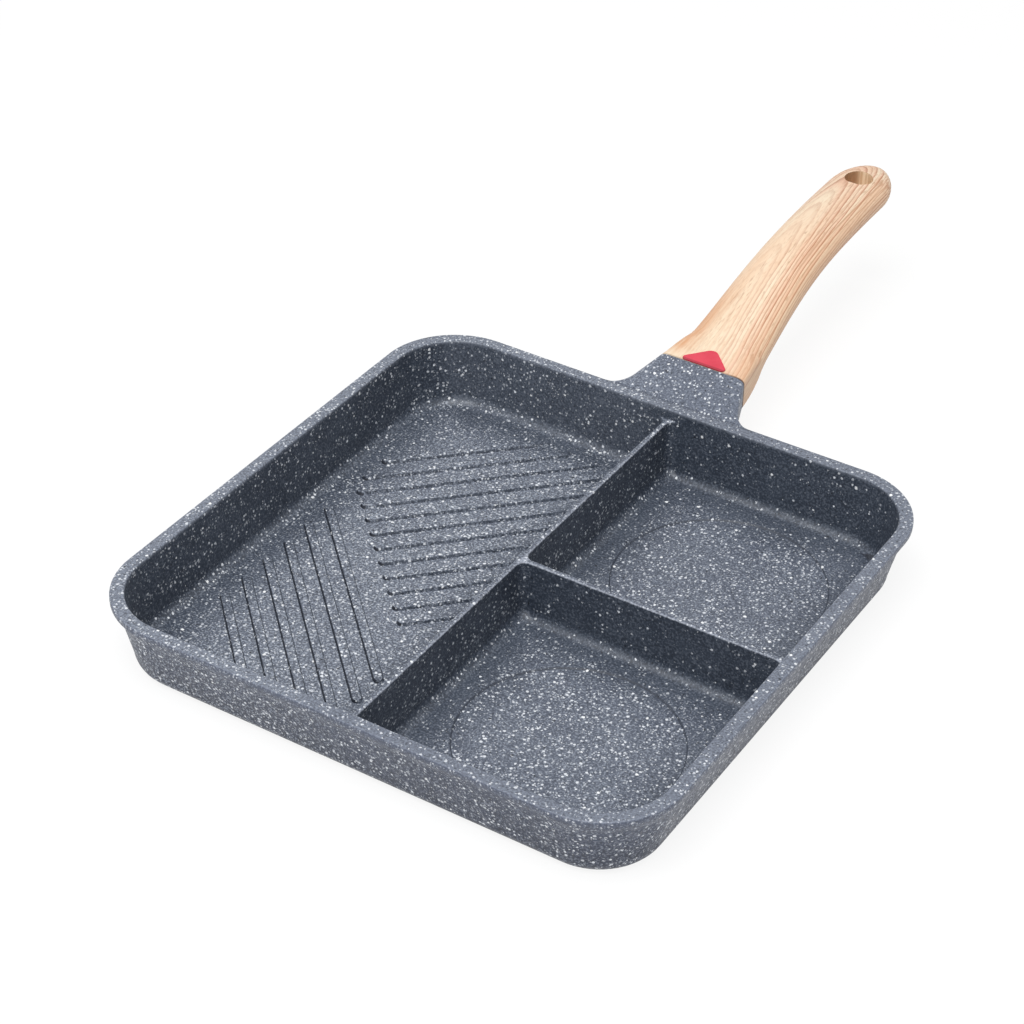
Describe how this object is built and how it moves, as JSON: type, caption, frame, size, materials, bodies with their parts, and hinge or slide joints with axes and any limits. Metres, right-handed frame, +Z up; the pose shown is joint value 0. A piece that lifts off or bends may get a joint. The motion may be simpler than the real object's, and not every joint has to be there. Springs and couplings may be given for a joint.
{
  "type": "divided frying pan",
  "caption": "Square non-stick frying pan split by low dividers into a large ribbed compartment and smaller plain ones, with a pale wood-look handle rising from its rim.",
  "frame": {"origin": "middle of the underside of the square base, where the pan rests on the hob", "axes": "+Z up out of the compartments, +Y from the base towards the handle, +X towards the small compartments"},
  "size_m": [0.28, 0.496, 0.0741],
  "materials": {
    "speckled_coating": "matte",
    "wood_grain": "satin",
    "red_marker": "gloss",
    "screw_steel": "satin"
  },
  "bodies": {
    "root": {"pan_body": "speckled_coating", "handle": "wood_grain", "thumb_marker": "red_marker", "handle_screw": "screw_steel"}
  },
  "joints": []
}
